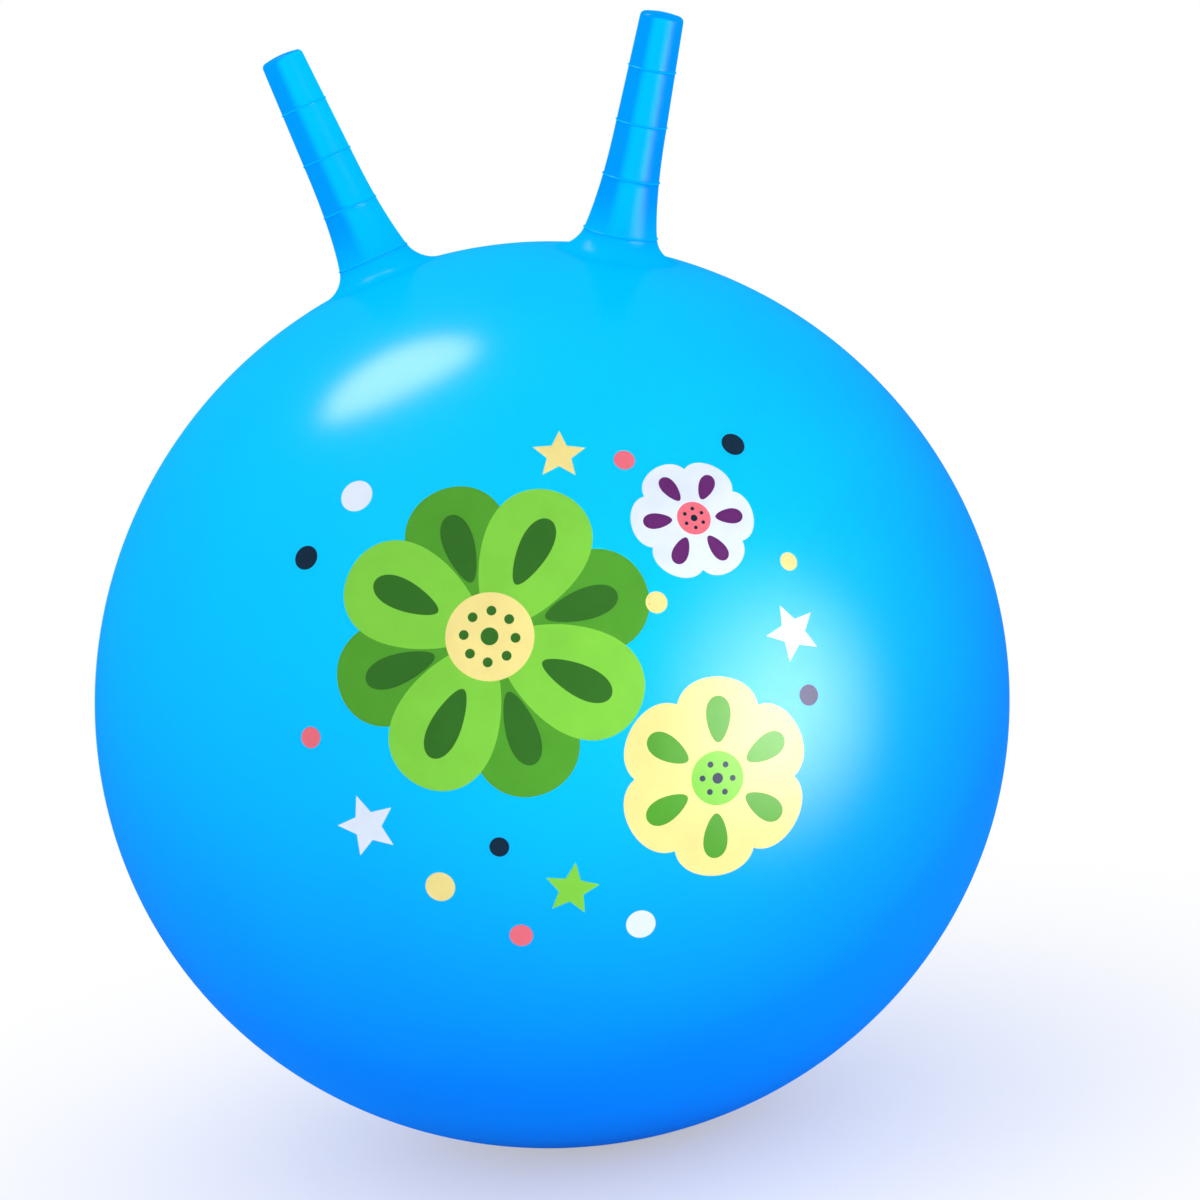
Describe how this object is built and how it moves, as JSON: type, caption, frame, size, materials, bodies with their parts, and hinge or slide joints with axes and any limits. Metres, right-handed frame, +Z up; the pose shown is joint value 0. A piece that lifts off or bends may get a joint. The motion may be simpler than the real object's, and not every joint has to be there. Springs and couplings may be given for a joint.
{
  "type": "hopper ball",
  "caption": "Inflated vinyl hopper ball with two hollow ringed horns to hold, a flat contact patch and a pull-out air valve stopper at the back.",
  "frame": {"origin": "centre of the flat contact patch that the ball stands on", "axes": "+Z up, horns in the XZ plane, front of the ball towards -Y, air valve towards +Y"},
  "size_m": [0.45, 0.4538, 0.5468],
  "materials": {
    "skin_vinyl": "satin inflated vinyl, cyan to azure",
    "horn_vinyl": "satin moulded vinyl, azure",
    "valve_vinyl": "matt soft vinyl",
    "plug_plastic": "white moulded plastic"
  },
  "bodies": {
    "ball": {"ball_skin": "skin_vinyl", "left_horn": "horn_vinyl", "right_horn": "horn_vinyl", "valve_seat": "valve_vinyl"},
    "stopper": {"valve_plug": "plug_plastic"}
  },
  "joints": [
    {"name": "plug_pull", "type": "slide", "parent": "ball", "child": "stopper", "axis": [0, 1, 0], "range_m": [0, 0.03]}
  ]
}
